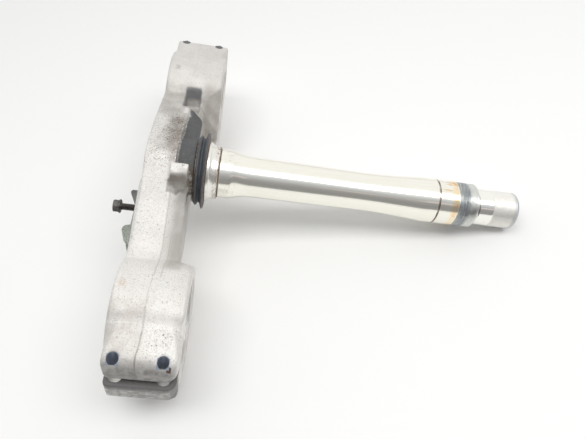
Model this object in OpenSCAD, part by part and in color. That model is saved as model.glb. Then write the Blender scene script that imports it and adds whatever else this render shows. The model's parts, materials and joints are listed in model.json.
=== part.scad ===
// Motorcycle lower triple clamp with its steering stem, lying on its front as it would come to rest.
// Every piece is drawn upright, with the stem along Z and the forks at each side along X. Then it
// is laid down. Y points to the front of the motorcycle while a piece is drawn upright.

/* [Fork clamps] */
// Distance from the steering axis to each fork axis
fork_half_spacing = 104; // [95:1:115]
// Distance the fork axes sit in front of the steering axis
fork_offset = 31; // [25:1:36]
// Bore for the fork tube
fork_bore_d = 57; // [50:0.5:60]
// Outside diameter of each clamp ring
ring_d = 78; // [70:1:84]
// Underside of the rings
ring_bottom = -53; // [-60:1:-45]
// Stem side of the rings
ring_top = -8.5; // [-12:0.5:-2]
// Width of the clamping slot
slot_w = 4; // [2:0.5:6]
// Middle of the slot, in front of the steering axis
slot_y = 20; // [16:1:31]
// Edge break of the rings
ring_edge = 1.2; // [0.5:0.1:3]
// How far the stem side of each ring leans back where the web runs into it
ring_lean = 3.8; // [1:0.2:5]

/* [Pinch bolt ears] */
// Outboard end of the ears
ear_end = 148.4; // [145:0.2:156]
// How far the front ear reaches past the rear one
ear_step = 3.5; // [0:0.5:5]
// Corner radius of the ears on the underside
ear_low_r = 3.6; // [1:0.2:6]
// Corner radius of the ears on the stem side
ear_high_r = 7; // [2:0.5:9]
// Corner radius between an ear's rear face and its end
ear_rear_r = 11; // [2:0.5:14]
// Edge break along the ears
ear_edge = 2.2; // [0.5:0.1:3]
// Rear face of the ears
ear_rear_y = -1; // [-6:0.5:3]
// Front face of the ears
ear_front_y = 46; // [40:1:52]
// Pinch holes, distance outboard of the steering axis
pinch_x = 142.5; // [138:0.5:146]
// Lower pinch hole, along the stem
pinch_z1 = -45; // [-48:0.5:-40]
// Upper pinch hole, along the stem
pinch_z2 = -17; // [-22:0.5:-12]
// Lean of the pinch bolts away from straight ahead, in degrees
pinch_lean = 5; // [0:0.5:10]
// Clear hole in the front ear for an M8 pinch bolt
pinch_clear_d = 9; // [8.4:0.1:9]
// Threaded hole in the rear ear, drawn at the thread's minor diameter
pinch_tap_d = 6.8; // [6.5:0.1:7]
// Seat for the bolt's head, sunk into the front ear
head_seat_d = 13.6; // [13:0.1:15]
// Depth of the head's seat
head_seat_depth = 4; // [2:0.5:6]

/* [Web and hub] */
// Underside of the web
web_bottom = -52.8; // [-56:0.2:-46]
// Underside of the hub
hub_bottom = -51; // [-56:0.5:-46]
// Stem side of the web
web_top = -20.5; // [-24:0.5:-12]
// Stem side of the hub, where the seal sits
hub_top = -17.5; // [-20:0.5:-12]
// Height at which the rear slope starts
ledge_z = -30; // [-36:1:-24]
// Outside diameter of the hub
hub_d = 48; // [46:1:60]
// Diameter of the hub's neck above the ledge
neck_d = 42; // [40:0.5:46]
// Depth of the lightening pockets
pocket_depth = 19; // [10:1:24]

/* [Steering stem] */
// Lower bearing seat diameter
seat_d = 35; // [30:1:40]
// Slim middle of the stem
waist_d = 28.6; // [24:0.1:34]
// Upper bearing seat diameter
upper_seat_d = 33.4; // [28:0.1:35]
// Groove line at the end of the upper seat
groove_z = 159; // [140:1:175]
// Start of the adjuster thread
thread_z = 174.5; // [150:0.5:185]
// Shoulder at the end of the adjuster thread
shoulder_z = 189; // [170:1:200]
// Adjuster thread diameter
thread_d = 33; // [28:0.5:35]
// Top spigot diameter
spigot_d = 27.6; // [22:0.1:30]
// Length of the stem past that shoulder
spigot_len = 33.5; // [22:0.5:50]
// Bore right through the stem
stem_bore_d = 20; // [14:1:24]

/* [Bearing and seal] */
// Height of the lower inner race
race_len = 8.5; // [6:0.5:14]
// Thickness of the race at its shoulder
race_wall = 3.5; // [2.5:0.1:6]
// Thickness of the race at its open end
race_lip = 0.9; // [0.6:0.1:2]
// Outside diameter of the seal's large lip
seal_d = 54.4; // [48:0.2:60]
// Outside diameter of the seal's small lip
seal_small_d = 49.8; // [44:0.2:54]
// Diameter of the groove between the seal's lips
seal_groove_d = 45.2; // [42:0.2:49]
// Washer under the seal
washer_d = 47; // [40:1:50]
// Washer thickness
washer_t = 0.8; // [0.5:0.1:1.5]

/* [Hose guide] */
// Guide bolt position outboard of the steering axis
guide_x = 27.5; // [24:0.5:40]
// Guide bolt position in front of the steering axis
guide_y = 17; // [4:1:20]
// Guide bolt thread diameter
guide_bolt_d = 5; // [4:0.5:6]
// Guide bolt length under its flange
guide_bolt_len = 20; // [12:1:25]
// Guide bolt head across its flats
guide_bolt_head = 8; // [7:0.5:10]
// Guide bolt flange diameter
guide_bolt_flange = 9.6; // [8:0.2:12]
// Length of the guide's plate
guide_len = 45; // [38:1:52]
// Width of the guide's plate
guide_w = 13; // [10:0.5:16]
// How far the guide's tabs reach down
guide_tab = 7.2; // [4:0.2:9]
// Sheet thickness of the guide
guide_t = 2; // [1:0.25:3]
// Gap under the bolt's flange, because the bolt is part unscrewed
guide_gap = 10.8; // [0:0.1:12]

/* [Hidden] */
// How far each slope cut runs on past its own stretch
wedge_lap = 2;
ring_r = ring_d / 2;
race_d = seat_d + 2 * race_wall;
// The laid down object touches the table with the rings' front edges and the stem's tip
touch_y = fork_offset + ring_r;
touch_z = ring_top - ring_edge;
tip_z = shoulder_z + spigot_len;
tip_edge_z = tip_z - 2.2;
rest_angle = atan((touch_y - spigot_d / 2) / (tip_edge_z - touch_z));
seat_z = -1.5;
// The origin is the middle of the stem's bore
stem_mid = (hub_bottom + tip_z) / 2;
race_bottom = seat_z - race_len;
seal_bottom = hub_top + washer_t;
pad_z = web_bottom - 0.5;

module at_rest() {
    rotate([0, 90 + rest_angle, 0])
        rotate([0, 0, -90])
            translate([0, 0, -stem_mid])
                children();
}

// Rear edge of the near half of the web, from the hub to the ring, seen along the stem
near_rear = [[0, -24], [4.5, -23.85], [9, -22.95], [13.5, -21], [18, -18.4], [27, -13], [36, -8],
             [50, -1.2], [58, 2.6], [64, 4.4], [70, 5.2], [76, 4.4], [82, 2]];

// Rear edge of the far half, which stands further back
far_rear = [[0, -24], [4, -23.7], [8, -22.95], [14, -20.9], [20, -18.6], [34, -13.2], [46, -8.9],
            [59, -4.4], [70, -1], [77, 0.7], [83, 0.6]];

// Front edge of both halves, from the ring to the hub
web_front = [[89, -2], [96, -5.6], [104, 20], [96, 60], [84, 60], [70, 54], [52, 47], [30, 42],
             [14, 40], [0, 40]];

// Underside of both halves, stepped in at the middle
module base_plan() {
    polygon([[-96, -5], [-88, -1], [-80, 1.6], [-70, -1], [-59, -4.4], [-34, -12], [-8, -15.6],
             [12, -11.4], [28, -7.2], [40, -4.4], [50, 0], [60, 4.6], [70, 6], [79, 4.6],
             [88, -0.6], [96, -5], [104, 20], [96, 60], [84, 60], [70, 54], [52, 47], [30, 42],
             [0, 41], [-30, 42], [-52, 47], [-70, 54], [-84, 60], [-96, 60], [-104, 20]]);
}

// Wedge that takes the rear upper edge off the web along the line from a to b
module edge_wedge(a, b, back) {
    run = norm(b - a);
    rise = (web_top - ledge_z - 2.6) / (back - 2.2);
    translate([a[0], a[1], 0])
        rotate([0, 0, atan2(b[1] - a[1], b[0] - a[0])])
            translate([-wedge_lap, 0, 0])
                rotate([90, 0, 90])
                    linear_extrude(height = run + 2 * wedge_lap)
                        polygon([[-12, ledge_z - 1.2], [-0.3, ledge_z - 1.2], [2.2, ledge_z + 2.6],
                                 [back + 3, web_top + 3 * rise], [-12, web_top + 3 * rise]]);
}

// Half of the web, with its rear upper edge sloped from the given point of its outline outwards
module web_half(rear, first, back) {
    difference() {
        translate([0, 0, hub_bottom])
            linear_extrude(height = web_top - hub_bottom)
                polygon(concat(rear, web_front));
        for (i = [first : len(rear) - 2])
            edge_wedge(rear[i], rear[i + 1], back);
    }
}

// Clamp ring, leaning back where the web runs into it
module ring_solid() {
    translate([fork_half_spacing, fork_offset, 0])
        difference() {
            rotate_extrude($fn = 128)
                polygon([[0, ring_bottom], [ring_r - ring_edge, ring_bottom],
                         [ring_r, ring_bottom + ring_edge], [ring_r, ring_top - ring_edge],
                         [ring_r - ring_edge, ring_top], [0, ring_top]]);
            rotate([0, 0, 216])
                translate([ring_r, 60, 0])
                    rotate([90, 0, 0])
                        linear_extrude(height = 120)
                            polygon([[0.4, web_top - 0.6], [2, web_top], [2, ring_top + 2],
                                     [-ring_lean - 0.8, ring_top + 2], [-ring_lean * 0.3, web_top + 3]]);
        }
}

// Quarter turn of a corner with radius r about c, from the angle a on
function corner(c, r, a) = [for (t = [a : 15 : a + 90]) [c[0] + r * cos(t), c[1] + r * sin(t)]];

// Ear seen from the rear, with its outboard end at e
module ear_side(e) {
    z1 = ring_bottom + 1.4;
    z2 = ring_top - 0.3;
    polygon(concat([[100, z1]], corner([e - ear_low_r, z1 + ear_low_r], ear_low_r, -90),
                   corner([e - ear_high_r, z2 - ear_high_r], ear_high_r, 0), [[100, z2]]));
}

// Ear with the given plan, seen along the stem
module ear_solid(e) {
    intersection() {
        translate([0, 0, ring_bottom])
            linear_extrude(height = ring_top - ring_bottom)
                children();
        translate([0, 80, 0])
            rotate([90, 0, 0])
                linear_extrude(height = 110)
                    ear_side(e);
        rotate([90, 0, 90])
            linear_extrude(height = 160)
                polygon([[ear_rear_y - 12, ring_bottom + 1.4 + ear_edge + 12],
                         [ear_rear_y + ear_edge, ring_bottom + 1.4], [62, ring_bottom + 1.2],
                         [62, ring_top], [ear_rear_y + ear_edge, ring_top],
                         [ear_rear_y - 12, ring_top - ear_edge - 12]]);
    }
}

// Both ears on the outboard side, flat where the bolt goes in
module ears() {
    front_end = ear_end + ear_step;
    f = ear_front_y;
    ear_solid(ear_end)
        polygon(concat([[104, ear_rear_y - 3.5], [119, ear_rear_y - 4.2], [135, ear_rear_y - 0.4]],
                       corner([ear_end - ear_rear_r, ear_rear_y + ear_rear_r], ear_rear_r, -90),
                       [[ear_end, slot_y], [104, slot_y]]));
    ear_solid(front_end)
        polygon(concat([[104, slot_y], [front_end, slot_y]],
                       corner([front_end - 8, f - 8], 8, 0), [[126, f], [104, f + 10]]));
}

// Steps the web up to the taller ring
module ring_rise() {
    intersection() {
        translate([0, 0, web_top - 2])
            linear_extrude(height = ring_top - web_top + 2)
                polygon([[76, 14], [84, 4], [90, 0.4], [100, 20], [92, 60], [84, 57], [77, 48]]);
        translate([0, 70, 0])
            rotate([90, 0, 0])
                linear_extrude(height = 80)
                    polygon([[72, web_top - 3], [75, web_top - 0.4], [79, web_top + 1.2],
                             [82.5, web_top + 4], [85, web_top + 7.4], [88, ring_top - 1.6],
                             [92, ring_top - 0.7], [110, ring_top - 0.7], [110, web_top - 3]]);
    }
}

// Lightening pockets, open to the underside
module pockets() {
    translate([0, 0, web_bottom - 1])
        linear_extrude(height = pocket_depth + 1) {
            polygon([[32, 20], [48, 18], [48, 37], [34, 33]]);
            polygon([[54, 16], [70, 16], [64, 26], [62, 42], [54, 40]]);
        }
}

module ring_and_ears() {
    ring_rise();
    ring_solid();
    ears();
}

module pinch_holes() {
    seat = ear_front_y - head_seat_depth - ear_rear_y;
    for (z = [pinch_z1, pinch_z2])
        translate([pinch_x, ear_rear_y, z])
            rotate([0, 0, -pinch_lean])
                rotate([-90, 0, 0]) {
                    translate([0, 0, -10])
                        cylinder(h = slot_y - ear_rear_y + 10, d = pinch_tap_d, $fn = 48);
                    translate([0, 0, slot_y - ear_rear_y])
                        cylinder(h = seat + 5, d = pinch_clear_d, $fn = 48);
                    translate([0, 0, seat])
                        cylinder(h = head_seat_depth + head_seat_d, d = head_seat_d, $fn = 64);
                }
}

// Slot that lets the ring close on the fork, square to the pinch bolts
module clamp_slot() {
    reach = ear_end - fork_half_spacing - fork_bore_d / 2 + 8.5;
    translate([ear_end, slot_y, ring_bottom - 2])
        rotate([0, 0, -pinch_lean])
            translate([-reach, -slot_w / 2, 0])
                cube([reach + ear_step + 12, slot_w, ring_top - ring_bottom + 4]);
}

module lower_yoke() {
    color([0.78, 0.77, 0.74])
        difference() {
            union() {
                web_half(near_rear, 4, 9);
                mirror([1, 0, 0]) web_half(far_rear, 5, 11);
                translate([0, 0, web_bottom])
                    linear_extrude(height = 4)
                        base_plan();
                ring_and_ears();
                mirror([1, 0, 0]) ring_and_ears();
                // Hub that the stem is pressed into
                translate([0, 0, hub_bottom])
                    cylinder(h = hub_top - hub_bottom, d = hub_d - 2, $fn = 96);
                // Steering stop on the rear face
                translate([0, 0, ledge_z - 2.6])
                    linear_extrude(height = 11.8)
                        polygon([[14.6, -12], [15.5, -23.9], [16.8, -24.9], [23.2, -22.6], [28.2, -10],
                                 [20, -8]]);
                // Pad for the hose guide
                translate([guide_x, guide_y, pad_z])
                    cylinder(h = 4, d = 12, $fn = 64);
            }
            for (s = [-1, 1]) {
                translate([s * fork_half_spacing, fork_offset, ring_bottom - 1])
                    cylinder(h = ring_top - ring_bottom + 2, d = fork_bore_d, $fn = 160);
            }
            clamp_slot();
            mirror([1, 0, 0]) clamp_slot();
            pinch_holes();
            mirror([1, 0, 0]) pinch_holes();
            pockets();
            mirror([1, 0, 0]) pockets();
            // Bore for the pressed stem, counterbored to the hub's underside
            translate([0, 0, hub_bottom - 5])
                cylinder(h = hub_top - hub_bottom + 10, d = seat_d, $fn = 128);
            translate([0, 0, hub_bottom - 5])
                cylinder(h = 5, d = seat_d + 9, $fn = 128);
            // Ledge around the hub's neck, below the seal
            difference() {
                translate([-56, -32, ledge_z])
                    cube([71.2, 40, 30]);
                translate([0, 0, ledge_z - 1])
                    cylinder(h = 40, d = neck_d, $fn = 96);
                translate([-60, -2, ledge_z - 1])
                    rotate([0, 0, -13])
                        cube([60, 40, 40]);
                translate([-8, -8, ledge_z - 1])
                    cube([50, 40, 40]);
            }
            // Recess in the rear face
            translate([-83, -14, -36])
                cube([24, 30, 11.6]);
            // Threaded hole for the guide bolt, at the bolt's own diameter
            translate([guide_x, guide_y, pad_z - 1])
                cylinder(h = 15, d = guide_bolt_d, $fn = 48);
        }
}

module steering_stem() {
    color([0.86, 0.85, 0.80])
        rotate_extrude($fn = 128)
            polygon([[stem_bore_d / 2, hub_bottom], [seat_d / 2 - 0.8, hub_bottom],
                     [seat_d / 2, hub_bottom + 0.8], [seat_d / 2, 7], [seat_d / 2 - 0.7, 8.2],
                     [15.4, 14], [14.8, 20], [waist_d / 2 + 0.2, 30], [waist_d / 2 + 0.2, 60],
                     [waist_d / 2, 84],
                     [waist_d / 2 - 0.2, 100], [waist_d / 2 + 0.1, 114], [15.4, 133],
                     [upper_seat_d / 2 - 0.2, 148],
                     [upper_seat_d / 2, 152], [upper_seat_d / 2, groove_z - 0.6],
                     [upper_seat_d / 2 - 0.7, groove_z - 0.4],
                     [upper_seat_d / 2 - 0.7, groove_z + 0.4],
                     [upper_seat_d / 2, groove_z + 0.6], [upper_seat_d / 2, thread_z - 0.8],
                     [thread_d / 2 - 0.9, thread_z - 0.3], [thread_d / 2 - 0.9, thread_z + 0.6],
                     [thread_d / 2, thread_z + 1.3], [thread_d / 2, shoulder_z - 0.8],
                     [thread_d / 2 - 0.8, shoulder_z], [spigot_d / 2 - 0.8, shoulder_z],
                     [spigot_d / 2 - 0.8, shoulder_z + 2], [spigot_d / 2, shoulder_z + 2.6],
                     [spigot_d / 2, tip_edge_z], [spigot_d / 2 - 2.2, tip_z],
                     [stem_bore_d / 2 + 1, tip_z], [stem_bore_d / 2, tip_z - 1]]);
}

module bearing_inner_race() {
    color([0.62, 0.61, 0.58])
        rotate_extrude($fn = 128)
            polygon([[seat_d / 2, race_bottom], [race_d / 2, race_bottom],
                     [race_d / 2, race_bottom + 2], [race_d / 2 - 0.8, race_bottom + 2.4],
                     [seat_d / 2 + race_lip + 0.5, seat_z - 0.8], [seat_d / 2 + race_lip, seat_z],
                     [seat_d / 2, seat_z]]);
}

module dust_seal() {
    color([0.06, 0.07, 0.09])
        rotate_extrude($fn = 128)
            polygon([[seat_d / 2 + 0.3, seal_bottom], [seal_small_d / 2 - 0.8, seal_bottom],
                     [seal_small_d / 2, seal_bottom + 0.7],
                     [seal_small_d / 2 - 0.4, seal_bottom + 1.9],
                     [seal_groove_d / 2, seal_bottom + 2.5], [seal_groove_d / 2 + 0.2, race_bottom - 3.4],
                     [seal_d / 2 - 0.8, race_bottom - 1.6], [seal_d / 2, race_bottom - 1.2],
                     [seal_d / 2 - 0.4, race_bottom - 0.4], [seal_small_d / 2 - 0.4, race_bottom],
                     [seat_d / 2 + 0.3, race_bottom]]);
}

module seal_washer() {
    color([0.35, 0.34, 0.33])
        translate([0, 0, hub_top])
            difference() {
                cylinder(h = washer_t, d = washer_d, $fn = 128);
                translate([0, 0, -1])
                    cylinder(h = washer_t + 2, d = seat_d + 0.2, $fn = 128);
            }
}

// Sheet steel guide, folded down along its rear edge
module hose_guide() {
    start = guide_x - 10.5;
    end = start + guide_len;
    back = guide_y - 6;
    color([0.30, 0.33, 0.35])
        difference() {
            union() {
                translate([start, back, pad_z - guide_t])
                    cube([guide_len, guide_w, guide_t]);
                translate([0, back + 1, pad_z])
                    rotate([90, 0, 0])
                        linear_extrude(height = guide_t)
                            polygon([[start, 0], [start + 0.2, 0.9 - guide_tab], [start + 2, -guide_tab],
                                     [start + 13, -guide_t], [end - 15.6, -guide_t],
                                     [end - 14.6, 2.1 - guide_tab], [end - 13.2, 0.7 - guide_tab],
                                     [end - 11, 0.3 - guide_tab], [end - 3.6, 2.9 - guide_tab],
                                     [end - 1.6, 4.5 - guide_tab], [end, 0]]);
            }
            translate([guide_x, guide_y, pad_z - 8])
                cylinder(h = 12, d = guide_bolt_d + 0.8, $fn = 48);
        }
}

module guide_bolt() {
    seat = pad_z - guide_t - guide_gap;
    color([0.16, 0.17, 0.19])
        translate([guide_x, guide_y, 0]) {
            translate([0, 0, seat])
                cylinder(h = guide_bolt_len, d = guide_bolt_d, $fn = 48);
            translate([0, 0, seat - 1.4])
                cylinder(h = 1.4, d = guide_bolt_flange, $fn = 48);
            translate([0, 0, seat - 5])
                rotate([0, 0, 12])
                    cylinder(h = 3.8, d = guide_bolt_head / cos(30), $fn = 6);
        }
}

at_rest() lower_yoke();
at_rest() steering_stem();
at_rest() bearing_inner_race();
at_rest() dust_seal();
at_rest() seal_washer();
at_rest() hose_guide();
at_rest() guide_bolt();
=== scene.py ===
import json
import math

import bmesh
import bpy
from mathutils import Matrix, Vector


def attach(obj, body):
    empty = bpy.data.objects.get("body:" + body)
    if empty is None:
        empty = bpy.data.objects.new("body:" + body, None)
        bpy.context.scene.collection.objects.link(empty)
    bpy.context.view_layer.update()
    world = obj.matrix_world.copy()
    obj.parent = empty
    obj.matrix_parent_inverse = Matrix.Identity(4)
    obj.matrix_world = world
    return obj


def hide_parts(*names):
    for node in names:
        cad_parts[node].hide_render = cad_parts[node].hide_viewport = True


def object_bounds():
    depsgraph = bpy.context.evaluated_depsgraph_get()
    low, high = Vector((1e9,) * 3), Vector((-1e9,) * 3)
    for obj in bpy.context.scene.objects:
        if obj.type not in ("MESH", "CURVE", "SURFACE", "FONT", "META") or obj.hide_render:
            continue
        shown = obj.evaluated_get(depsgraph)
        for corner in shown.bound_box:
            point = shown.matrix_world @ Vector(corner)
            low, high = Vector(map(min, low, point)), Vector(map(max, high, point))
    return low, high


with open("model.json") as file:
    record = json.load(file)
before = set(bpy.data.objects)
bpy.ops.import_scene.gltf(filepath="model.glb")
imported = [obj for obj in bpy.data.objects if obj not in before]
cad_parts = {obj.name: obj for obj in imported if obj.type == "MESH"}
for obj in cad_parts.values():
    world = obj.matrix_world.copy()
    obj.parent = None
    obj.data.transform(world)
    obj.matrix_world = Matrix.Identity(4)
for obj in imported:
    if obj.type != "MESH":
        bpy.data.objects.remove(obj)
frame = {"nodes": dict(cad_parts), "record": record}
cad_low, cad_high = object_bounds()

# Lower yoke: one aluminium casting with two split clamp rings, a web and a hub, whose bores, slots and
# pinch holes are cut by machine. It is drawn upright in millimetres, with the stem along Z, the near ring
# at +X and the motorcycle's front at +Y, and laid down with the frame's own stem axis.
STEM_BASE_TO_ORIGIN = 85.75
mounts = {m["name"]: m for m in frame["record"]["mounts"]}
stem_axis = Vector(mounts["upper_bearing_seat"]["axis"])
front_axis = Vector((stem_axis.z, 0, -stem_axis.x))
side_axis = Vector((0, -1, 0))
LAID_DOWN = Matrix((side_axis, front_axis, stem_axis)).transposed().to_4x4()
LAID_DOWN = LAID_DOWN @ Matrix.Scale(0.001, 4) @ Matrix.Translation((0, 0, -STEM_BASE_TO_ORIGIN))


def new_object(name, bm, sharp_angle=35):
    """A mesh object in the row frame from an upright bmesh, smooth but for its sharp edges."""
    bm.transform(LAID_DOWN)
    bmesh.ops.recalc_face_normals(bm, faces=bm.faces)
    for face in bm.faces:
        face.smooth = True
    for edge in bm.edges:
        edge.smooth = len(edge.link_faces) == 2 and edge.calc_face_angle(0) < math.radians(sharp_angle)
    mesh = bpy.data.meshes.new(name)
    bm.to_mesh(mesh)
    bm.free()
    piece = bpy.data.objects.new(name, mesh)
    bpy.context.scene.collection.objects.link(piece)
    return piece


def turned(bm, outline, segments=128, place=Matrix(), radius_at=None):
    """Shape turned from (radius, height) points. radius_at changes a radius by height and angle."""
    rings = []
    for radius, height in outline:
        ring = []
        for i in range(segments):
            turn = 2 * math.pi * i / segments
            r = radius_at(radius, height, turn) if radius_at else radius
            ring.append(bm.verts.new(place @ Vector((r * math.cos(turn), r * math.sin(turn), height))))
        rings.append(ring)
    for low, high in zip(rings, rings[1:]):
        for i in range(segments):
            j = (i + 1) % segments
            bm.faces.new((low[i], low[j], high[j], high[i]))
    return rings


def closed_turned(bm, outline, **options):
    """A turned solid whose first and last rings are capped."""
    rings = turned(bm, outline, **options)
    bm.faces.new(list(reversed(rings[0])))
    bm.faces.new(rings[-1])


def applied(piece):
    """Puts what the piece's modifiers make into its mesh and takes the modifiers off."""
    graph = bpy.context.evaluated_depsgraph_get()
    mesh = bpy.data.meshes.new_from_object(piece.evaluated_get(graph))
    piece.modifiers.clear()
    piece.data = mesh


def cut(piece, name, bm):
    """Takes the upright solids in bm out of the piece."""
    tool = new_object(name, bm)
    modifier = piece.modifiers.new("cut", "BOOLEAN")
    modifier.object = tool
    modifier.solver = "MANIFOLD"
    applied(piece)
    bpy.data.objects.remove(tool)


RING_X, RING_Y = 104, 31
RING_LOW, RING_HIGH = -53, -8.5
FORK_BORE_R, HUB_BORE_R = 28.5, 17.5
HUB_FACE_R, HUB_FACE_Z = 22, -51
BORE_CHAMFER = 1.2
SIDES = (1, -1)
PINCH_X, PINCH_HEIGHTS = 142.5, (-45, -17)
PINCH_LEAN = math.radians(5)
THREADED_R, CLEAR_R, HEAD_SEAT_R = 3.4, 4.5, 6.8
CLEAR_START, HEAD_SEAT_START = 21, 43
EAR_REAR_Y, EAR_END = -1, 148.4
SLOT_Y, SLOT_W = 20, 4
PLUG_SINK = 0.05
VOXEL = 0.00095


def bolt_line(side, height):
    """Turns local Z into a pinch bolt's line, from the ear's rear face forwards."""
    spot = Matrix.Translation((side * PINCH_X, EAR_REAR_Y, height))
    return spot @ Matrix.Rotation(-side * PINCH_LEAN, 4, "Z") @ Matrix.Rotation(-math.pi / 2, 4, "X")


def box(bm, size, place):
    """A box of the given size about the place's origin."""
    bmesh.ops.create_cube(bm, size=1, matrix=place @ Matrix.Diagonal((*size, 1)))


def clamp_slot(side, shift):
    """The slot's place, square to the pinch bolts, shifted inboard from the ear's end."""
    spot = Matrix.Translation((side * EAR_END, SLOT_Y, (RING_LOW + RING_HIGH) / 2))
    return spot @ Matrix.Rotation(-side * PINCH_LEAN, 4, "Z") @ Matrix.Translation((-side * shift, 0, 0))


# The frame's yoke, its openings plugged, is remeshed and smoothed so that its cast edges are round.
yoke_bm = bmesh.new()
yoke_bm.from_mesh(frame["nodes"]["lower_yoke"].data)
bmesh.ops.remove_doubles(yoke_bm, verts=yoke_bm.verts, dist=1e-6)
yoke_bm.transform(LAID_DOWN.inverted())
for side in SIDES:
    ring_place = Matrix.Translation((side * RING_X, RING_Y, 0))
    plug_r = FORK_BORE_R + 0.4
    closed_turned(yoke_bm, [(plug_r, RING_LOW + PLUG_SINK), (plug_r, RING_HIGH - PLUG_SINK)],
                  segments=96, place=ring_place)
    box(yoke_bm, (22, 5, RING_HIGH - RING_LOW - 8), clamp_slot(side, 13.5))
    for height in PINCH_HEIGHTS:
        line = bolt_line(side, height)
        for plug_r, start, end in ((THREADED_R + 0.3, 2.4, CLEAR_START - 2.6),
                                   (CLEAR_R + 0.25, CLEAR_START + 2.6, HEAD_SEAT_START - 0.4)):
            closed_turned(yoke_bm, [(plug_r, start), (plug_r, end)], segments=32, place=line)
yoke = new_object("yoke_casting", yoke_bm)
remesh = yoke.modifiers.new("remesh", "REMESH")
remesh.mode = "VOXEL"
remesh.voxel_size = VOXEL
smooth = yoke.modifiers.new("smooth", "SMOOTH")
smooth.factor = 0.5
smooth.iterations = 8
applied(yoke)

# Every machined cut is crisp. The fork bores have a small chamfer at both mouths, and the hub's foot is
# faced off round the stem's end.
cuts = bmesh.new()
wide_r = FORK_BORE_R + BORE_CHAMFER
fork_cut = [(wide_r + 1, RING_LOW - 1), (wide_r, RING_LOW), (FORK_BORE_R, RING_LOW + BORE_CHAMFER),
            (FORK_BORE_R, RING_HIGH - BORE_CHAMFER), (wide_r, RING_HIGH), (wide_r + 1, RING_HIGH + 1)]
pinch_cut = [(THREADED_R, -9), (THREADED_R, CLEAR_START), (CLEAR_R, CLEAR_START),
             (CLEAR_R, HEAD_SEAT_START), (HEAD_SEAT_R, HEAD_SEAT_START), (HEAD_SEAT_R, 60)]
for side in SIDES:
    closed_turned(cuts, fork_cut, segments=192, place=Matrix.Translation((side * RING_X, RING_Y, 0)))
    for height in PINCH_HEIGHTS:
        closed_turned(cuts, pinch_cut, segments=48, place=bolt_line(side, height))
closed_turned(cuts, [(HUB_BORE_R, -60), (HUB_BORE_R, 20)], segments=96)
cut(yoke, "bore_cutter", cuts)
slots = bmesh.new()
for side in SIDES:
    box(slots, (40, SLOT_W, 60), clamp_slot(side, 4))
closed_turned(slots, [(HUB_FACE_R, -60), (HUB_FACE_R, HUB_FACE_Z)], segments=96)
cut(yoke, "slot_cutter", slots)
for polygon in yoke.data.polygons:
    polygon.use_smooth = True
yoke.data.set_sharp_from_angle(angle=math.radians(38))
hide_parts("lower_yoke")
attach(yoke, "root")


def fill(tree, node, inputs):
    """Puts values, or other nodes' sockets, on a node's inputs."""
    for key, value in inputs.items():
        if isinstance(value, bpy.types.NodeSocket):
            tree.links.new(value, node.inputs[key])
        else:
            node.inputs[key].default_value = value


def add(tree, kind, inputs=None, **settings):
    """A node in the tree with its settings and its inputs."""
    node = tree.nodes.new("ShaderNode" + kind)
    for key, value in settings.items():
        setattr(node, key, value)
    fill(tree, node, inputs or {})
    return node


def math_of(tree, operation, *values, **settings):
    """What a Math node makes of the values."""
    return add(tree, "Math", dict(enumerate(values)), operation=operation, **settings).outputs[0]


def shader_group(name, inputs, outputs):
    """An empty node group with named inputs (name: kind or (kind, value)) and outputs."""
    tree = bpy.data.node_groups.new(name, "ShaderNodeTree")
    for label, kind in inputs.items():
        kind, value = kind if isinstance(kind, tuple) else (kind, None)
        socket = tree.interface.new_socket(label, in_out="INPUT", socket_type="NodeSocket" + kind)
        if value is not None:
            socket.default_value = value
    for label, kind in outputs.items():
        tree.interface.new_socket(label, in_out="OUTPUT", socket_type="NodeSocket" + kind)
    return tree, tree.nodes.new("NodeGroupInput").outputs, tree.nodes.new("NodeGroupOutput").inputs


# Object coordinates turned back into the upright piece's millimetres.
upright_group, given, result = shader_group("upright_mm", {}, {"Upright": "Vector"})
spot = add(upright_group, "TexCoord").outputs["Object"]
parts = []
for direction in (side_axis, front_axis, stem_axis):
    dot = add(upright_group, "VectorMath", {0: spot, 1: direction * 1000}, operation="DOT_PRODUCT")
    parts.append(dot.outputs["Value"])
parts[2] = math_of(upright_group, "ADD", parts[2], STEM_BASE_TO_ORIGIN)
upright_spot = add(upright_group, "CombineXYZ", dict(enumerate(parts)))
upright_group.links.new(upright_spot.outputs[0], result["Upright"])

# A soft-edged box of dirt or wear, with a ragged edge, between two upright corners.
patch_group, given, result = shader_group(
    "patch", {"Upright": "Vector", "Low": "Vector", "High": "Vector", "Soft": ("Float", 2.0),
              "Ragged": ("Float", 3.0), "Ragged size": ("Float", 0.25)}, {"Mask": "Float"})
grain = add(patch_group, "TexNoise", {"Vector": given["Upright"], "Scale": given["Ragged size"],
                                      "Detail": 4.0, "Roughness": 0.65}).outputs["Color"]
centred = add(patch_group, "VectorMath", {0: grain, 1: (0.5, 0.5, 0.5)}, operation="SUBTRACT")
pushed = add(patch_group, "VectorMath", {0: centred.outputs[0], "Scale": given["Ragged"]},
             operation="SCALE")
moved = add(patch_group, "VectorMath", {0: given["Upright"], 1: pushed.outputs[0]}, operation="ADD")
over = add(patch_group, "VectorMath", {0: moved.outputs[0], 1: given["Low"]}, operation="SUBTRACT")
under = add(patch_group, "VectorMath", {0: given["High"], 1: moved.outputs[0]}, operation="SUBTRACT")
inner = add(patch_group, "VectorMath", {0: over.outputs[0], 1: under.outputs[0]}, operation="MINIMUM")
inner_x, inner_y, inner_z = add(patch_group, "SeparateXYZ", {0: inner.outputs[0]}).outputs
least = math_of(patch_group, "MINIMUM", math_of(patch_group, "MINIMUM", inner_x, inner_y), inner_z)
outside = math_of(patch_group, "MULTIPLY", given["Soft"], -1.0)
mask = add(patch_group, "MapRange", {"Value": least, "From Min": outside, "From Max": given["Soft"]},
           interpolation_type="SMOOTHSTEP")
patch_group.links.new(mask.outputs[0], result["Mask"])

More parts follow.
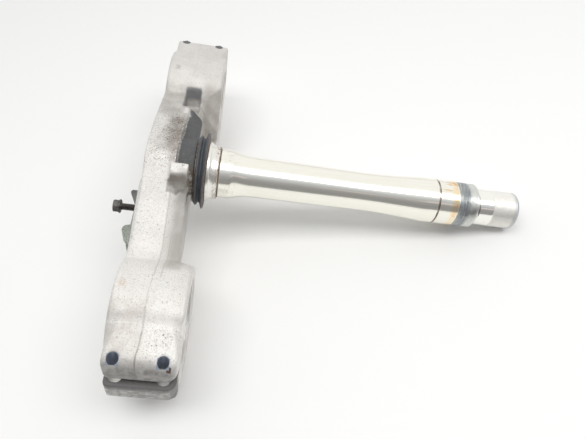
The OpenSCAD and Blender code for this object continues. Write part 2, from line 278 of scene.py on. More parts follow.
# Specks whose share of the surface is set by Amount.
speck_group, given, result = shader_group(
    "specks", {"Upright": "Vector", "Size": ("Float", 1.2), "Amount": ("Float", 0.4)}, {"Mask": "Float"})
dots = add(speck_group, "TexNoise", {"Vector": given["Upright"], "Detail": 3.0, "Roughness": 0.7,
                                     "Scale": math_of(speck_group, "DIVIDE", 1.0, given["Size"])})
edge = math_of(speck_group, "SUBTRACT", 0.72, given["Amount"])
mask = add(speck_group, "MapRange", {"Value": dots.outputs["Fac"], "From Min": edge,
                                     "From Max": math_of(speck_group, "ADD", edge, 0.07)},
           interpolation_type="SMOOTHSTEP")
speck_group.links.new(mask.outputs[0], result["Mask"])


class Finish:
    """A material under construction, whose colour, roughness, metal and height change layer by layer."""

    def __init__(self, name, colour, roughness, metallic, reach=0):
        self.material = bpy.data.materials.new(name)
        self.material.use_nodes = True
        self.tree = self.material.node_tree
        self.upright = self.group(upright_group, {})
        self.colour = (*colour, 1)
        self.roughness = roughness
        self.metallic = metallic
        self.height = 0.0
        self.reach = reach

    def group(self, shared, inputs):
        """What a shader group puts out for the given inputs."""
        node = add(self.tree, "Group", node_tree=shared)
        fill(self.tree, node, inputs)
        return node.outputs[0]

    def noise(self, scale, detail=4.0, roughness=0.55, stretch=(1, 1, 1)):
        """A noise value over the upright piece, whose scale is in cycles per millimetre."""
        spot = add(self.tree, "VectorMath", {0: self.upright, 1: stretch}, operation="MULTIPLY")
        return add(self.tree, "TexNoise", {"Vector": spot.outputs[0], "Scale": scale, "Detail": detail,
                                           "Roughness": roughness}).outputs["Fac"]

    def ramp(self, value, low, high, to_low=0.0, to_high=1.0):
        """The value spread from low..high to to_low..to_high, held at both ends."""
        return add(self.tree, "MapRange", {"Value": value, "From Min": low, "From Max": high,
                                           "To Min": to_low, "To Max": to_high},
                   interpolation_type="SMOOTHSTEP").outputs[0]

    def times(self, a, b):
        """Two masks multiplied."""
        return math_of(self.tree, "MULTIPLY", a, b, use_clamp=True)

    def patch(self, low, high, soft=2.0, ragged=3.0, size=0.25):
        """Mask of a ragged box between two upright corners."""
        return self.group(patch_group, {"Upright": self.upright, "Low": low, "High": high, "Soft": soft,
                                        "Ragged": ragged, "Ragged size": size})

    def specks(self, size, amount):
        """Mask of specks, their size in millimetres."""
        return self.group(speck_group, {"Upright": self.upright, "Size": size, "Amount": amount})

    def lay(self, mask, colour=None, roughness=None, metallic=None, height=None):
        """Lays a coat over what is there, where the mask says."""
        if colour is not None:
            mix = add(self.tree, "Mix", {"Factor": mask, 6: self.colour, 7: (*colour, 1)},
                      data_type="RGBA")
            self.colour = mix.outputs[2]
        for key, value in (("roughness", roughness), ("metallic", metallic)):
            if value is not None:
                mix = add(self.tree, "Mix", {"Factor": mask, 2: getattr(self, key), 3: value})
                setattr(self, key, mix.outputs[0])
        if height is not None:
            self.height = math_of(self.tree, "MULTIPLY_ADD", mask, height, self.height)

    def stain(self, low, high, colour, soft=2.0, ragged=3.0, size=0.25, where=None, **coat):
        """Lays a coat over a ragged box, only as far as the mask in where lets it."""
        mask = self.patch(low, high, soft, ragged, size)
        if where is not None:
            mask = self.times(mask, where)
        self.lay(mask, colour=colour, **coat)

    def band(self, low, high, colour, *edges, **coat):
        """Lays a stain round the stem's axis between two heights, out to the finish's reach."""
        reach = self.reach
        self.stain((-reach, -reach, low), (reach, reach, high), colour, *edges, **coat)

    def done(self, bump):
        """Joins the layers to the shader. Heights are in millimetres."""
        bumps = add(self.tree, "Bump", {"Height": self.height, "Distance": 0.001, "Strength": bump})
        fill(self.tree, self.tree.nodes["Principled BSDF"],
             {"Base Color": self.colour, "Roughness": self.roughness, "Metallic": self.metallic,
              "Normal": bumps.outputs[0]})
        return self.material


cast = Finish("cast_aluminium", (0.825, 0.81, 0.785), 0.48, 0.3)
cast.lay(cast.ramp(cast.noise(0.03, 3.0), 0.35, 0.7), colour=(0.72, 0.70, 0.67))
cast.lay(cast.ramp(cast.noise(0.9, 5.0, 0.7), 0.3, 0.7), height=0.14, roughness=0.54)
cast.lay(cast.ramp(cast.noise(0.25, 3.0), 0.3, 0.7), height=0.12)
cast.lay(cast.ramp(cast.noise(1.5, 3.0, 0.7), 0.45, 0.7, 0.0, 0.7), colour=(0.58, 0.555, 0.525))
cast.lay(cast.specks(1.1, 0.12), colour=(0.42, 0.39, 0.36), height=-0.06)
# The mould's parting line runs round both rings and the ears, but not in the machined fork bores.
PARTING_Z = -32.0
side_way, front_way, up = add(cast.tree, "SeparateXYZ", {0: cast.upright}).outputs
out_x = math_of(cast.tree, "SUBTRACT", math_of(cast.tree, "ABSOLUTE", side_way), RING_X)
out_y = math_of(cast.tree, "SUBTRACT", front_way, RING_Y)
off_axis = add(cast.tree, "CombineXYZ", {0: out_x, 1: out_y}).outputs[0]
off_axis = add(cast.tree, "VectorMath", {0: off_axis}, operation="LENGTH").outputs["Value"]
wander = cast.ramp(cast.noise(0.03, 2.0), 0.2, 0.8, -1.5, 1.5)
from_line = math_of(cast.tree, "SUBTRACT", math_of(cast.tree, "ADD", up, wander), PARTING_Z)
line_gap = math_of(cast.tree, "ABSOLUTE", from_line)
near_ring = cast.patch((92, -60, -60), (160, 60, 0), 8, 2)
far_ring = cast.patch((-160, -60, -60), (-94, 60, 0), 3, 2)
rings_only = math_of(cast.tree, "MAXIMUM", near_ring, far_ring)
rings_only = cast.times(rings_only, cast.ramp(off_axis, FORK_BORE_R + 1.2, FORK_BORE_R + 2.5))
cast.lay(cast.times(cast.ramp(line_gap, 2.0, 0.7), rings_only), height=0.2)
faint = cast.times(cast.ramp(cast.noise(0.06, 3.0), 0.3, 0.7, 0.25, 0.9), cast.ramp(line_gap, 0.65, 0.2))
faint = cast.times(faint, cast.ramp(side_way, 108, 128, 0.3, 1.0))
cast.lay(cast.times(faint, rings_only), colour=(0.30, 0.28, 0.26), height=-0.3)
# Both fork bores are bare and smoother, with the boring tool's fine rings.
bored = cast.ramp(off_axis, FORK_BORE_R + 0.5, FORK_BORE_R + 0.1)
cast.lay(bored, colour=(0.80, 0.79, 0.77), roughness=0.32, metallic=0.6)
tool_rings = cast.ramp(cast.noise(0.8, 3.0, 0.6, (0.05, 0.05, 2.5)), 0.35, 0.65)
cast.lay(cast.times(bored, tool_rings), colour=(0.66, 0.65, 0.63), height=0.02)
# The far half of the web is duller, and two low ridges run along the near half.
cloudy = cast.ramp(cast.noise(0.1, 4.0), 0.3, 0.6, 0.5, 1.0)
cast.stain((-84, -40, -56), (-40, 20, -18), (0.47, 0.445, 0.42), 9, 6, 0.1, cloudy, roughness=0.5)
for start, end, bottom, top in ((29, 92, -31.5, -30.7), (56, 93, -27.2, -26.5)):
    cast.stain((start, -40, bottom), (end, 12, top), (0.62, 0.60, 0.57), 0.45, 0.8, 0.1, height=0.3)
# Painted shade darkens the slope up to the stem's side and the wall behind the seal.
dust_and_shade = cast.ramp(cast.noise(0.12, 4.0), 0.3, 0.6, 0.6, 1.0)
cast.stain((20, -40, -26.4), (84, 40, -17), (0.54, 0.52, 0.49), 2.5, 3, 0.15, dust_and_shade)
cast.stain((-86, -12, -22), (-42, 40, 2), (0.44, 0.415, 0.385), 4, 4, 0.15, dust_and_shade)
# Painted shade and dirt darken the stop's near face.
cast.stain((23.6, -25, -34), (31, -8, -19), (0.27, 0.245, 0.22), 0.7, 0.4, 0.3, dust_and_shade)
# Grime over the middle, darkest along the trench's edge, with specks that thin out towards both rings.
thin = cast.ramp(cast.noise(0.16, 4.0, 0.6), 0.25, 0.6, 0.2, 0.75)
cast.stain((-38, -40, -41), (4, 0, -29), (0.22, 0.19, 0.165), 8, 9, 0.12, thin, roughness=0.6,
           metallic=0.25)
thin = cast.ramp(cast.noise(0.3, 4.0, 0.6), 0.25, 0.6, 0.1, 0.6)
cast.stain((-34, -40, -35), (14, 0, -28), (0.24, 0.195, 0.16), 3.5, 5, 0.15, thin, roughness=0.6,
           metallic=0.25)
DIRT = (0.11, 0.088, 0.07)
cast.stain((-42, -40, -41), (-4, 0, -29), DIRT, 4, 8, 0.12, cast.specks(0.9, 0.205), roughness=0.7,
           metallic=0.1, height=0.1)
cast.stain((-56, -40, -51), (16, 0, -29), DIRT, 5, 8, 0.12, cast.specks(0.75, 0.15), roughness=0.7,
           metallic=0.1, height=0.08)
cast.stain((16, -40, -50), (64, 0, -28), (0.30, 0.25, 0.21), 8, 9, 0.1, cast.specks(0.8, 0.095),
           roughness=0.65)
# Grease fills the trench under the seal and runs down the wall beyond it.
cast.stain((-56, -40, -29.4), (16.2, 12, -10), (0.082, 0.086, 0.09), 0.8, 1.6, 0.5, roughness=0.62,
           metallic=0.0, height=0.5)
cast.stain((-56, -40, -30), (20, 12, -10), (0.22, 0.19, 0.15), 0.8, 1, where=cast.specks(1.0, 0.13),
           roughness=0.7)
greasy = cast.ramp(cast.noise(0.4, 4.0), 0.3, 0.6, 0.4, 1.0)
cast.stain((12, -24, -20.8), (34, 0, -10), (0.13, 0.10, 0.075), 1.0, 2, 0.5, greasy, roughness=0.6,
           metallic=0.1)
# The far pocket is painted a lighter blue-grey: painted light in its shade.
cast.stain((-83.4, -9, -36.4), (-58, 9, -24.2), (0.42, 0.43, 0.45), 0.4, 0.5, 0.4, roughness=0.5,
           metallic=0.1)
# The trench's edge is rubbed bare, most of all where the pocket meets it.
BARE = (0.82, 0.815, 0.79)
cast.stain((-56, -30, -33.4), (-47, -5, -28.6), BARE, 1.2, 1.5, 0.4, roughness=0.28, metallic=0.8)
cast.stain((-50, -40, -31.0), (17, -2, -29.2), BARE, 0.4, 1.0, 0.6, cast.specks(1.6, 0.2), roughness=0.3,
           metallic=0.8)
# Where the near ring's flat begins: a band of painted shade, and a raised line with a painted highlight.
painted_crease_light = cast.ramp(cast.noise(0.1, 4.0), 0.3, 0.7, 0.35, 0.9)
cast.stain((116.5, -30, -56), (121.5, 10, -4), (0.53, 0.505, 0.485), 2.6, 3, 0.15, painted_crease_light)
cast.stain((122.4, -30, -50), (123.4, 10, -33), (0.82, 0.81, 0.79), 0.6, 3.5, 0.12, painted_crease_light, height=0.1)
# Then the near ring's stains, specks and pits.
stained = cast.ramp(cast.noise(0.12, 5.0), 0.3, 0.7, 0.1, 0.7)
cast.stain((112, -30, -52), (140, 8, -33), (0.53, 0.485, 0.44), 8, 9, 0.1, stained, roughness=0.6)
cast.stain((96, -30, -52), (146, 8, -12), (0.40, 0.345, 0.30), 6, 9, 0.1, cast.specks(0.8, 0.11),
           roughness=0.6, height=-0.06)
rusty = cast.ramp(cast.noise(0.5), 0.35, 0.6, 0.1, 0.5)
cast.stain((97, -30, -50), (102, 8, -46), (0.60, 0.46, 0.32), 1.6, 3, 0.3, rusty, roughness=0.6)
cast.stain((126, -10, -28), (136, 8, -14), (0.28, 0.25, 0.23), 3, 3, 0.3, cast.specks(1.3, 0.13),
           roughness=0.7, height=-0.3)
# Painted shade on the near ears' ends and slot, painted light on the front rim; a rusty chip by a pinch
# hole.
painted_ear_shade = cast.ramp(cast.noise(0.2, 5.0), 0.3, 0.7, 0.6, 1.0)
cast.stain((144.5, 2, -56), (160, 60, 2), (0.25, 0.24, 0.23), 3.5, 2, 0.2, painted_ear_shade, roughness=0.55)
cast.stain((143, 21.5, -58), (160, 60, 2), (0.20, 0.195, 0.19), 2.5, 3, 0.2, painted_ear_shade, roughness=0.55)
cast.stain((136, 20.4, -58), (151.6, 23.4, 2), (0.15, 0.145, 0.145), 0.5, 0.5, 0.3, roughness=0.6)
painted_rim_light = cast.ramp(cast.noise(0.3, 5.0), 0.35, 0.65, 0.2, 0.9)
cast.stain((150.9, 26, -58), (160, 60, 2), (0.58, 0.57, 0.55), 0.5, 1.2, 0.3, painted_rim_light, roughness=0.5)
cast.stain((144.7, -2, -14.9), (146.9, 9, -12.3), (0.10, 0.05, 0.03), 0.35, 1.2, 0.5, roughness=0.7,
           metallic=0.0, height=-0.4)
# The near threaded holes are painted dark inside as painted shade, the far ones lighter as painted light.
for z in PINCH_HEIGHTS:
    cast.stain((138.8, -0.2, z - 3.6), (146.1, 17, z + 3.6), (0.32, 0.36, 0.44), 0.2, 0.1, metallic=0.2)
    cast.stain((-146.6, -0.4, z - 3.6), (-138.6, 17, z + 3.6), (0.72, 0.74, 0.78), 0.3, 0.1)
# Painted light brightens the lower clear hole and the near ring's top.
cast.stain((138.6, 23.6, -49.6), (151.2, 45, -40.4), (0.88, 0.87, 0.84), 0.3, 0.1)
cast.stain((90, -4, -9.6), (126, 24, 0), (0.86, 0.85, 0.83), 0.5, 0.4)
# The far ring is a little duller, with a small dent.
cast.stain((-101, -20, -47), (-97, 8, -44), (0.50, 0.475, 0.45), 1.6, 3, 0.3, roughness=0.5, height=-0.3)
cloudy = cast.ramp(cast.noise(0.1, 5.0), 0.25, 0.75, 0.25, 0.6)
cast.stain((-150, -30, -60), (-86, 30, 0), (0.56, 0.535, 0.51), 8, 6, 0.1, cloudy, roughness=0.46)
yoke.data.materials.clear()
yoke.data.materials.append(cast.done(0.7))

# Steering stem: an alloy tube turned on a lathe, pressed into the hub. Its bearing seats are ground, the
# adjuster thread and the fine thread at the tip are cut, and rust sits at the adjuster thread's run-out.
SEAT_R, UPPER_SEAT_R = 17.5, 16.7
STEM_BORE_R, STEM_FOOT = 10, -51
GROOVE_Z, GROOVE_R = 159, UPPER_SEAT_R - 0.7
THREAD_START, THREAD_END, THREAD_R, THREAD_DEPTH = 175.2, 188.3, 16.5, 0.55
SPIGOT_R, TIP_THREAD_START, TIP_THREAD_DEPTH = 13.8, 202, 0.5
TIP_Z = 222.5
THREAD_PITCH = 1.0
RING_STEP = 0.25


def thread_wave(height, turn, start, end, depth, pitch=THREAD_PITCH):
    """How far a cut thread lies below the bar at this height and angle, fading out at both ends."""
    saw = (height / pitch - turn / (2 * math.pi)) % 1.0
    fade = min(1.0, max(0.0, (height - start) / pitch), max(0.0, (end - height) / pitch))
    return depth * fade * abs(2 * saw - 1)


def spread(low, high, step):
    """Heights from low to high in even steps near the given one."""
    count = max(1, round((high - low) / step))
    return [low + (high - low) * i / count for i in range(count + 1)]


def stem_radius(radius, height, turn):
    """The stem's radius with both threads cut in. Its bore stays plain."""
    if radius < SPIGOT_R - 3:
        return radius
    return (radius - thread_wave(height, turn, THREAD_START, THREAD_END, THREAD_DEPTH)
            - thread_wave(height, turn, TIP_THREAD_START, TIP_Z - 2.4, TIP_THREAD_DEPTH))


# The outline goes up the outside, from the pressed end past the seats and the waist to the tip, and
# comes back down the bore.
stem_outline = [(STEM_BORE_R, STEM_FOOT), (SEAT_R - 0.8, STEM_FOOT), (SEAT_R, STEM_FOOT + 0.8),
                (SEAT_R, 6.6), (SEAT_R - 0.06, 7.4), (SEAT_R - 0.35, 8.4), (16.5, 10.4), (15.75, 12.9),
                (15.1, 16), (14.8, 20), (14.6, 25), (14.5, 30), (14.52, 45), (14.5, 60), (14.4, 72),
                (14.3, 84), (14.1, 100), (14.2, 108), (14.4, 116), (14.8, 124), (15.3, 132), (15.9, 140),
                (16.4, 146.5), (16.62, 150), (UPPER_SEAT_R, 153), (UPPER_SEAT_R, GROOVE_Z - 0.7),
                (GROOVE_R, GROOVE_Z - 0.45), (GROOVE_R, GROOVE_Z + 0.45), (UPPER_SEAT_R, GROOVE_Z + 0.7),
                (UPPER_SEAT_R, 173.6), (15.9, 173.9), (15.6, 174.2), (15.6, 174.9), (16.3, 175.1)]
stem_outline += [(THREAD_R, z) for z in spread(THREAD_START + 0.1, THREAD_END - 0.1, RING_STEP)]
stem_outline += [(16.2, 188.7), (15.6, 189), (13.5, 189.1), (13.3, 189.4), (13.3, 190.9), (13.6, 191.3),
                 (SPIGOT_R, 191.6)]
stem_outline += [(SPIGOT_R, z) for z in spread(193, TIP_THREAD_START - 1, 5)]
stem_outline += [(SPIGOT_R, z) for z in spread(TIP_THREAD_START, TIP_Z - 2.3, RING_STEP)]
stem_outline += [(SPIGOT_R - 0.6, TIP_Z - 1.1), (SPIGOT_R - 1.3, TIP_Z - 0.4), (SPIGOT_R - 2.2, TIP_Z),
                 (STEM_BORE_R + 1, TIP_Z), (STEM_BORE_R, TIP_Z - 1), (STEM_BORE_R, 80),
                 (STEM_BORE_R, STEM_FOOT)]
stem_bm = bmesh.new()
turned(stem_bm, stem_outline, segments=160, radius_at=stem_radius)
bmesh.ops.remove_doubles(stem_bm, verts=stem_bm.verts, dist=1e-4)
stem = new_object("steering_stem_turned", stem_bm, 25)
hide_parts("steering_stem")
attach(stem, "root")

polished = Finish("polished_alloy", (0.935, 0.92, 0.845), 0.11, 1.0, reach=20)
polished.lay(polished.ramp(polished.noise(0.35, 4.0, 0.6, (1, 1, 0.12)), 0.35, 0.7),
             colour=(0.91, 0.89, 0.805))
polished.lay(polished.ramp(polished.noise(2.4, 3.0, 0.6, (0.15, 0.15, 6)), 0.35, 0.65), roughness=0.17,
             height=0.004)
polished.band(2, 11, (0.45, 0.42, 0.37), 2, 1, where=polished.specks(0.8, 0.14), roughness=0.4)
polished.band(12, 168, (0.40, 0.37, 0.33), 3, 2, where=polished.specks(0.55, 0.045), roughness=0.45)
polished.band(-1.8, -0.7, (0.16, 0.12, 0.09), 0.4, 1.0, 0.5, roughness=0.7, metallic=0.3)
rusty = polished.ramp(polished.noise(0.2, 3.0), 0.3, 0.6, 0.55, 1.0)
polished.band(GROOVE_Z - 0.6, GROOVE_Z + 0.6, (0.27, 0.20, 0.17), 0.3, 0.2, where=rusty,
              roughness=0.45)
# Heat and rust have tinted the seat's end like a film of oil, with streaks that run down from it.
SEAT_END = 173.2
tint = polished.ramp(polished.noise(0.12, 3.0), 0.3, 0.62, 0.45, 1.0)
polished.band(168.6, SEAT_END, (0.94, 0.80, 0.56), 1.2, 1.2, 0.12, tint, roughness=0.15)
burnt = polished.ramp(polished.noise(0.16, 4.0), 0.42, 0.6, 0.1, 0.9)
polished.band(170.0, SEAT_END, (0.80, 0.50, 0.22), 0.7, 1.6, 0.2, burnt, roughness=0.2)
streaks = polished.ramp(polished.noise(0.35, 3.0, 0.5, (1, 1, 0.25)), 0.52, 0.66, 0.0, 0.8)
polished.stain((-20, -24, 160.6), (4, -1, 169), (0.78, 0.58, 0.34), 1.2, 1.5, 0.2, streaks, roughness=0.2)
# The adjuster thread is dull and dark where its nut never sat.
polished.band(174.3, 200, (0.72, 0.73, 0.70), 0.5, 0.6, roughness=0.34)
turned_lines = polished.ramp(polished.noise(0.9, 4.0, 0.6, (0.12, 0.12, 1.6)), 0.3, 0.7, 0.35, 1.0)
polished.band(175.0, 182.3, (0.27, 0.295, 0.325), 1.2, 1.6, 0.3, turned_lines, roughness=0.42,
              metallic=0.9)
polished.band(174.3, 184, (0.12, 0.12, 0.125), 1, 2, where=polished.specks(1.0, 0.14),
              roughness=0.55, metallic=0.6)
polished.band(174, 184, (0.42, 0.27, 0.13), 1, 2, where=polished.specks(1.6, 0.02), roughness=0.6,
              metallic=0.4)
# The relief beyond it is dirty, the spigot is polished again, and the tip's thread is matt and worn.
polished.band(188.4, 189.5, (0.30, 0.29, 0.27), 0.3, 0.4, roughness=0.4)
polished.band(190.6, 201.6, (0.93, 0.92, 0.87), 0.4, 0.3, roughness=0.12)
polished.band(TIP_THREAD_START, 230, (0.88, 0.87, 0.83), 0.4, 0.3, roughness=0.46, metallic=0.75)
polished.band(TIP_THREAD_START, 230, (0.50, 0.49, 0.47), 1, 2, where=polished.specks(1.1, 0.09),
              roughness=0.5)
polished.band(219.2, 230, (0.52, 0.54, 0.56), 1.6, 1.0, roughness=0.5)
stem.data.materials.append(polished.done(0.5))

# Lower bearing's inner race: a ground steel ring pushed down the stem onto the seal, with a raised
# shoulder. Its open end is rusty where it meets the stem.
race_bm = bmesh.new()
turned(race_bm, [(SEAT_R, -10), (20.6, -10), (21, -9.6), (21, -8.1), (20.85, -7.8), (20.2, -7.6),
                 (19.6, -6.4), (19.2, -4.6), (18.95, -2.6), (18.75, -1.9), (18.4, -1.55), (17.9, -1.5),
                 (SEAT_R, -1.5), (SEAT_R, -10)])
bmesh.ops.remove_doubles(race_bm, verts=race_bm.verts, dist=1e-4)
race = new_object("bearing_inner_race_ring", race_bm, 30)
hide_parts("bearing_inner_race")
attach(race, "root")
ground = Finish("ground_steel", (0.86, 0.85, 0.80), 0.2, 1.0, reach=24)
ground.lay(ground.ramp(ground.noise(1.6, 3.0, 0.6, (0.2, 0.2, 5)), 0.35, 0.65), roughness=0.28,
           colour=(0.80, 0.79, 0.74))
ground.band(-4.2, -0.5, (0.36, 0.27, 0.19), 1.2, 2, 0.4, ground.specks(1.3, 0.22), roughness=0.6,
            metallic=0.4)
ground.band(-1.8, -0.8, (0.24, 0.20, 0.16), 0.3, 1.0, 0.4, roughness=0.6, metallic=0.4)
ground.band(-11, -9.5, (0.26, 0.185, 0.13), 0.3, 0.6, 0.4, roughness=0.55, metallic=0.4)
race.data.materials.append(ground.done(0.5))

# Dust seal: a ring of moulded black rubber with two lips, stretched over the stem and held between the
# washer and the race. Rust from the race has settled along its top edge.
seal_bm = bmesh.new()
turned(seal_bm, [(17.8, -16.7), (24, -16.7), (24.6, -16.5), (24.9, -16), (24.75, -15.4), (24.3, -14.9),
                 (23.2, -14.55), (22.75, -14.2), (22.7, -13.7), (23.0, -13.2), (24.4, -12.5),
                 (26.2, -11.9), (27.0, -11.45), (27.2, -11.1), (26.9, -10.6), (26.2, -10.35),
                 (24.5, -10), (17.8, -10), (17.8, -16.7)])
bmesh.ops.remove_doubles(seal_bm, verts=seal_bm.verts, dist=1e-4)
seal = new_object("dust_seal_rubber", seal_bm, 60)
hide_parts("dust_seal")
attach(seal, "root")
rubber = Finish("black_rubber", (0.062, 0.071, 0.082), 0.5, 0.0, reach=30)
rubber.lay(rubber.ramp(rubber.noise(0.3, 4.0), 0.4, 0.7), colour=(0.088, 0.095, 0.104), roughness=0.6)
rubber.lay(rubber.ramp(rubber.noise(2.0, 3.0), 0.3, 0.7), height=0.05)
rubber.lay(rubber.times(rubber.specks(0.9, 0.15), rubber.ramp(rubber.noise(0.08), 0.4, 0.6)),
           colour=(0.16, 0.14, 0.12), roughness=0.75)
dust_and_shade = rubber.ramp(rubber.noise(0.2), 0.3, 0.6, 0.3, 0.9)
rubber.band(-10.35, -9, (0.17, 0.12, 0.085), 0.12, 0.3, where=dust_and_shade, roughness=0.7)
seal.data.materials.append(rubber.done(0.6))

# Washer under the seal: a thin ring stamped from sheet steel, slipped down the stem onto the hub for the
# seal to sit on. Grease has darkened it and rust has started.
washer_bm = bmesh.new()
turned(washer_bm, [(17.6, -17.5), (23.3, -17.5), (23.5, -17.3), (23.5, -16.9), (23.3, -16.7),
                   (17.6, -16.7), (17.6, -17.5)])
bmesh.ops.remove_doubles(washer_bm, verts=washer_bm.verts, dist=1e-4)
washer = new_object("seal_washer_ring", washer_bm, 30)
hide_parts("seal_washer")
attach(washer, "root")
greasy = Finish("greasy_steel", (0.20, 0.19, 0.175), 0.4, 0.8)
greasy.lay(greasy.ramp(greasy.noise(0.3, 4.0), 0.4, 0.6), colour=(0.06, 0.055, 0.05), roughness=0.5,
           metallic=0.3)
greasy.lay(greasy.specks(0.8, 0.2), colour=(0.2, 0.12, 0.07), roughness=0.7, metallic=0.2, height=0.03)
washer.data.materials.append(greasy.done(0.5))

# Hose guide: a strip of sheet steel whose rear edge is folded down into two rounded tabs. It is held to
# the pad on the yoke's underside by the bolt.
SHEET_ROUND = 0.35
guide_bm = bmesh.new()
guide_bm.from_mesh(frame["nodes"]["hose_guide"].data)
bmesh.ops.remove_doubles(guide_bm, verts=guide_bm.verts, dist=1e-6)
guide_bm.transform(LAID_DOWN.inverted())
bmesh.ops.dissolve_limit(guide_bm, angle_limit=math.radians(1), verts=guide_bm.verts,
                         edges=guide_bm.edges)
outer_edges = [edge for edge in guide_bm.edges
               if len(edge.link_faces) == 2 and edge.calc_face_angle(0) > math.radians(20)]
bmesh.ops.bevel(guide_bm, geom=outer_edges, offset=SHEET_ROUND, segments=2, profile=0.5, affect="EDGES",
                material=-1, clamp_overlap=True)
guide = new_object("hose_guide_sheet", guide_bm, 30)
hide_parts("hose_guide")
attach(guide, "root")
zinc = Finish("zinc_sheet", (0.115, 0.125, 0.13), 0.45, 0.6)
zinc.lay(zinc.ramp(zinc.noise(0.25, 4.0), 0.4, 0.65), colour=(0.19, 0.205, 0.19), roughness=0.5)
# The sheet is painted dark as shade, and its part from x 40 to 80 a lighter grey-green as painted light.
zinc.stain((40, -20, -80), (80, 60, -40), (0.30, 0.325, 0.29), 2, 2, roughness=0.5)
zinc.lay(zinc.specks(0.9, 0.17), colour=(0.10, 0.085, 0.07), roughness=0.65, metallic=0.3)
guide.data.materials.append(zinc.done(0.5))

# Guide bolt: an M5 steel bolt with a rolled thread and a forged hexagon head on a flange. It goes up
# through the hose guide into the pad, and is part unscrewed.
BOLT_PLACE = Matrix.Translation((27.5, 17, 0))
PAD_Z = -53.3
GUIDE_T, BOLT_GAP = 2, 10.8
SEAT_Z = PAD_Z - GUIDE_T - BOLT_GAP
BOLT_PITCH, BOLT_THREAD_DEPTH = 0.8, 0.42
SHANK_R, SHANK_L = 2.5, 20
HEX_HALF, HEX_TURN = 4.0, math.radians(12)


def bolt_radius(radius, height, turn):
    """The shank's radius with its thread cut in."""
    return radius - thread_wave(height, turn, SEAT_Z + 0.3, SEAT_Z + SHANK_L - 0.3, BOLT_THREAD_DEPTH,
                                BOLT_PITCH)


def hex_radius(radius, height, turn):
    """The head's six flats, with the corners turned down at the top."""
    flat = HEX_HALF / math.cos((turn - HEX_TURN) % (math.pi / 3) - math.pi / 6)
    return min(radius, flat)


bolt_bm = bmesh.new()
shank = [(SHANK_R, z) for z in spread(SEAT_Z - 0.4, SEAT_Z + SHANK_L - 0.6, 0.2)]
shank.append((SHANK_R - 0.5, SEAT_Z + SHANK_L))
flange = [(4.3, SEAT_Z - 1.5), (4.7, SEAT_Z - 1.2), (4.8, SEAT_Z - 0.8), (4.8, SEAT_Z - 0.2),
          (4.6, SEAT_Z)]
head = [(4.05, SEAT_Z - 5), (4.35, SEAT_Z - 4.8), (4.62, SEAT_Z - 4.4), (4.62, SEAT_Z - 1.2)]
closed_turned(bolt_bm, shank, segments=48, place=BOLT_PLACE, radius_at=bolt_radius)
closed_turned(bolt_bm, flange, segments=64, place=BOLT_PLACE)
closed_turned(bolt_bm, head, segments=96, place=BOLT_PLACE, radius_at=hex_radius)
bolt = new_object("guide_bolt_hex", bolt_bm, 25)
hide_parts("guide_bolt")
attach(bolt, "root")
dark = Finish("dark_steel", (0.075, 0.078, 0.085), 0.42, 0.8)
dark.lay(dark.ramp(dark.noise(0.6, 4.0), 0.4, 0.65), colour=(0.13, 0.125, 0.12), roughness=0.52)
dark.lay(dark.specks(0.7, 0.17), colour=(0.20, 0.15, 0.105), roughness=0.7, metallic=0.3, height=0.02)
bolt.data.materials.append(dark.done(0.5))

# Floor: a plain pale sheet of board, laid flat. The rings' front edges and the stem's tip rest on it.
FLOOR_HALF = 6
floor_bm = bmesh.new()
bmesh.ops.create_grid(floor_bm, x_segments=1, y_segments=1, size=FLOOR_HALF)
floor_mesh = bpy.data.meshes.new("floor")
floor_bm.to_mesh(floor_mesh)
floor_bm.free()
floor = bpy.data.objects.new("floor", floor_mesh)
bpy.context.scene.collection.objects.link(floor)
floor.location.z = cad_low.z
floor_material = bpy.data.materials.new("pale_floor")
floor_material.use_nodes = True
fill(floor_material.node_tree, floor_material.node_tree.nodes["Principled BSDF"],
     {"Base Color": (0.945, 0.945, 0.94, 1), "Roughness": 0.9, "Specular IOR Level": 0.2})
floor.data.materials.append(floor_material)

# Camera: where the photograph was taken from, above the yoke's near end and looking down along it. Its
# place and its directions are given in the upright piece's axes.
CAMERA_SPOT = Vector((251.743, -299.172, 9.776))
CAMERA_FORWARD = Vector((-0.58572, 0.80209, 0.11651))
CAMERA_UP = Vector((-0.80995, -0.5739, -0.12087))
camera_data = bpy.data.cameras.new("camera")
camera_data.lens = 32.996
camera_data.sensor_width = 36
camera_data.clip_start = 0.01
camera = bpy.data.objects.new("camera", camera_data)
bpy.context.scene.collection.objects.link(camera)
upright_turn = LAID_DOWN.to_3x3() * 1000
forward = upright_turn @ CAMERA_FORWARD
camera_up = upright_turn @ CAMERA_UP
facing = Matrix((forward.cross(camera_up), camera_up, -forward)).transposed()
camera.matrix_world = Matrix.Translation(LAID_DOWN @ CAMERA_SPOT) @ facing.to_4x4()
bpy.context.scene.camera = camera


# Light: a long soft ceiling lamp above the stem and a little to the near side, in a pale room. The lamp
# throws the shadows on the floor, and the room fills them and is what the metal reflects.
def soft_lamp(name, place, length, width, watts, colour):
    """An area lamp that faces the object, its length along the stem."""
    lamp = bpy.data.lights.new(name, "AREA")
    lamp.energy = watts
    lamp.shape = "RECTANGLE"
    lamp.size = length
    lamp.size_y = width
    lamp.color = colour
    holder = bpy.data.objects.new(name, lamp)
    bpy.context.scene.collection.objects.link(holder)
    outward = Vector(place).normalized()
    across = outward.cross((1, 0, 0)).normalized()
    turned_out = Matrix((across.cross(outward), across, outward)).transposed()
    holder.matrix_world = Matrix.Translation(place) @ turned_out.to_4x4()


soft_lamp("ceiling_light", (0.2, -0.2, 1.25), 1.8, 0.5, 10.9, (1.0, 0.99, 0.97))
world = bpy.data.worlds.new("room")
world.use_nodes = True
bpy.context.scene.world = world
room = world.node_tree
background = room.nodes["Background"]


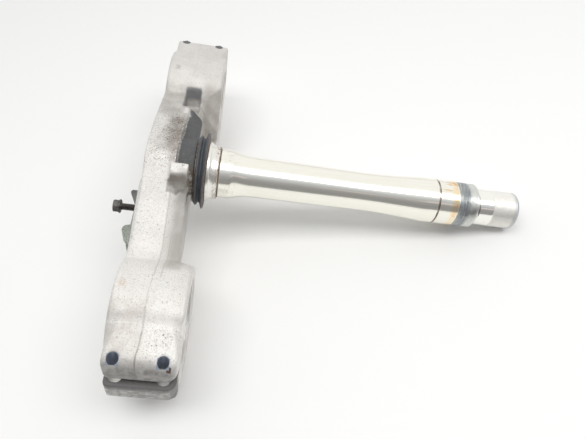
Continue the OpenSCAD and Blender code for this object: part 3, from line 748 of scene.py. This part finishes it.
def room_mask(value, low, high):
    """The value spread from low..high to 0..1, held at both ends."""
    return add(room, "MapRange", {"Value": value, "From Min": low, "From Max": high},
               interpolation_type="SMOOTHSTEP").outputs[0]


def tone_over(shade, mask, tone):
    """The room's shade with a tone laid over it, where the mask says."""
    return add(room, "Mix", {"Factor": mask, 6: shade, 7: (*tone, 1)}, data_type="RGBA").outputs[2]


# The room is brightest beyond the stem and dims towards the camera, down to the floor's edge, with a
# thin warm strip of light in the dim part. The polished stem reflects all of it.
ROOM_TONES = [(0.10, (0.99, 0.99, 0.98)), (0.22, (0.90, 0.92, 0.95)), (0.40, (0.58, 0.60, 0.64)),
              (0.60, (0.38, 0.375, 0.38)), (0.80, (0.29, 0.29, 0.295)), (1.0, (0.30, 0.295, 0.29))]
toward = add(room, "TexCoord").outputs["Generated"]
along, far_side, above = add(room, "SeparateXYZ", {0: toward}).outputs
near_side = math_of(room, "MULTIPLY", far_side, -1.0)
turn = math_of(room, "ARCTAN2", near_side, above)
quarter = add(room, "MapRange", {"Value": turn, "From Min": 0.0, "From Max": math.pi / 2}).outputs[0]
sky = add(room, "ValToRGB", {"Fac": quarter})
steps = sky.color_ramp.elements
while len(steps) < len(ROOM_TONES):
    steps.new(0.5)
for step, (spot, tone) in zip(steps, ROOM_TONES):
    step.position = spot
    step.color = (*tone, 1)
STRIP_TURN = 0.92
off_strip = math_of(room, "ABSOLUTE", math_of(room, "SUBTRACT", turn, STRIP_TURN))
strip = math_of(room, "MULTIPLY", room_mask(off_strip, 0.06, 0.02), room_mask(along, 0.28, 0.44))
shade = tone_over(sky.outputs[0], strip, (0.86, 0.74, 0.70))
# It is dark behind the yoke on the near side, and grey beyond the stem's tip.
behind = math_of(room, "MULTIPLY", room_mask(along, 0.08, -0.2), room_mask(near_side, 0.1, 0.6))
shade = tone_over(shade, behind, (0.10, 0.10, 0.105))
shade = tone_over(shade, room_mask(along, 0.74, 0.95), (0.42, 0.42, 0.42))
# Only what is seen or mirrored shows the room at its full brightness, so that shadows stay dark.
path = add(room, "LightPath").outputs
seen = math_of(room, "MAXIMUM", path["Is Camera Ray"], path["Is Glossy Ray"])
seen = math_of(room, "MAXIMUM", seen, path["Is Transmission Ray"])
strength = add(room, "MapRange", {"Value": seen, "To Min": 0.76, "To Max": 1.0}).outputs[0]
fill(room, background, {"Color": shade, "Strength": strength})
bpy.context.scene.view_settings.view_transform = "Standard"
